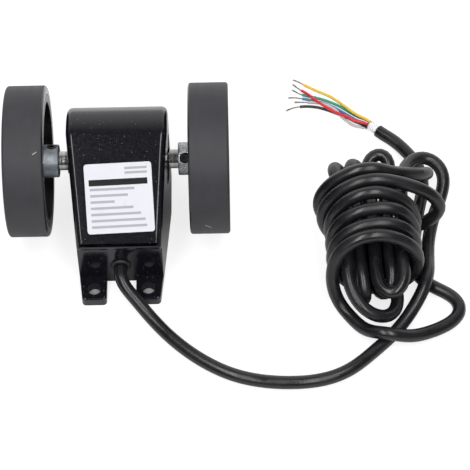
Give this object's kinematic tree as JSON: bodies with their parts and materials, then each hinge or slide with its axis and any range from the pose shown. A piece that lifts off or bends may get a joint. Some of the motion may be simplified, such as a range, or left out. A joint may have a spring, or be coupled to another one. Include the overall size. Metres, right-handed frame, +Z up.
{
  "type": "roller length meter",
  "caption": "Double-wheel length sensor: a cast housing on tabs, a shaft with rubber-tyred measuring wheels, a slotted disc with optical sensors, and a bundled cable with bare wires.",
  "frame": {"origin": "on the mounting face of the base, straight below the shaft, midway between the wheels", "axes": "+X along the shaft to the right wheel, +Y away from the side with the label and the cable, +Z up"},
  "size_m": [0.2404, 0.2059, 0.0858],
  "materials": {
    "black_gloss_paint": "glossy black stove enamel with slight orange peel",
    "tread_rubber": "matt grey-black rubber with fine turned lines",
    "black_plastic": "moulded black plastic",
    "ground_steel": "ground bright steel",
    "black_oxide_steel": "black oxide",
    "zinc_plated_steel": "rough turned, zinc plated",
    "turned_aluminium": "turned, bare",
    "board_laminate": "green solder mask on laminate",
    "cable_sheath": "semi-gloss black sheath",
    "label_film": "white film, satin",
    "white_plastic": "white insulation",
    "wire_yellow": "yellow insulation, tinned tip",
    "wire_red": "red insulation, tinned tip",
    "wire_green": "green insulation, tinned tip",
    "wire_blue": "blue insulation, tinned tip",
    "wire_white": "white insulation, tinned tip",
    "wire_black": "black insulation, tinned tip"
  },
  "bodies": {
    "base": {"housing": "black_gloss_paint", "base_cover": "black_gloss_paint", "base_cover_screw_1": "ground_steel", "base_cover_screw_2": "ground_steel", "base_cover_screw_3": "ground_steel", "base_cover_screw_4": "ground_steel", "label_plate": "label_film", "circuit_board": "board_laminate", "board_screw_1": "ground_steel", "board_screw_2": "ground_steel", "board_screw_3": "ground_steel", "board_screw_4": "ground_steel", "photo_interrupter_front": "black_plastic", "photo_interrupter_rear": "black_plastic", "controller_chip": "black_plastic", "supply_regulator": "black_plastic", "smoothing_capacitor": "turned_aluminium", "wire_header": "white_plastic", "inner_wires": "white_plastic", "inner_jacket": "cable_sheath", "cable_grommet": "black_plastic", "cable_clamp": "ground_steel", "left_clamp_screw": "black_oxide_steel", "right_clamp_screw": "black_oxide_steel", "left_bearing_outer_ring": "ground_steel", "right_bearing_outer_ring": "ground_steel", "left_bearing_outer_shield": "ground_steel", "right_bearing_outer_shield": "ground_steel", "left_bearing_inner_shield": "ground_steel", "right_bearing_inner_shield": "ground_steel", "cable_lead": "cable_sheath", "cable_bundle": "cable_sheath", "cable_tail": "cable_sheath", "shield_wrap": "white_plastic", "wire_yellow": "wire_yellow", "wire_red": "wire_red", "wire_green": "wire_green", "wire_blue": "wire_blue", "wire_white": "wire_white", "wire_black": "wire_black"},
    "rotor": {"main_shaft": "ground_steel", "left_tyre": "tread_rubber", "left_wheel_rim": "black_plastic", "left_wheel_hub": "zinc_plated_steel", "left_set_screw": "black_oxide_steel", "left_bearing_inner_ring": "ground_steel", "left_circlip": "black_oxide_steel", "right_tyre": "tread_rubber", "right_wheel_rim": "black_plastic", "right_wheel_hub": "zinc_plated_steel", "right_set_screw": "black_oxide_steel", "right_bearing_inner_ring": "ground_steel", "right_circlip": "black_oxide_steel", "encoder_disc": "black_oxide_steel", "disc_collar": "turned_aluminium", "disc_collar_screw": "black_oxide_steel"},
    "left_balls": {"left_bearing_balls": "ground_steel"},
    "right_balls": {"right_bearing_balls": "ground_steel"}
  },
  "joints": [
    {"name": "wheel_spin", "type": "hinge", "parent": "base", "child": "rotor", "pos_m": [0, 0, 0.046], "axis": [1, 0, 0], "continuous": true},
    {"name": "left_ball_spin", "type": "hinge", "parent": "base", "child": "left_balls", "pos_m": [-0.0212, 0, 0.046], "axis": [1, 0, 0], "continuous": true},
    {"name": "right_ball_spin", "type": "hinge", "parent": "base", "child": "right_balls", "pos_m": [0.0212, 0, 0.046], "axis": [1, 0, 0], "continuous": true}
  ],
  "couplings": [
    {"joint": "left_ball_spin", "follows": "wheel_spin", "ratio": 0.3694},
    {"joint": "right_ball_spin", "follows": "wheel_spin", "ratio": 0.3694}
  ]
}
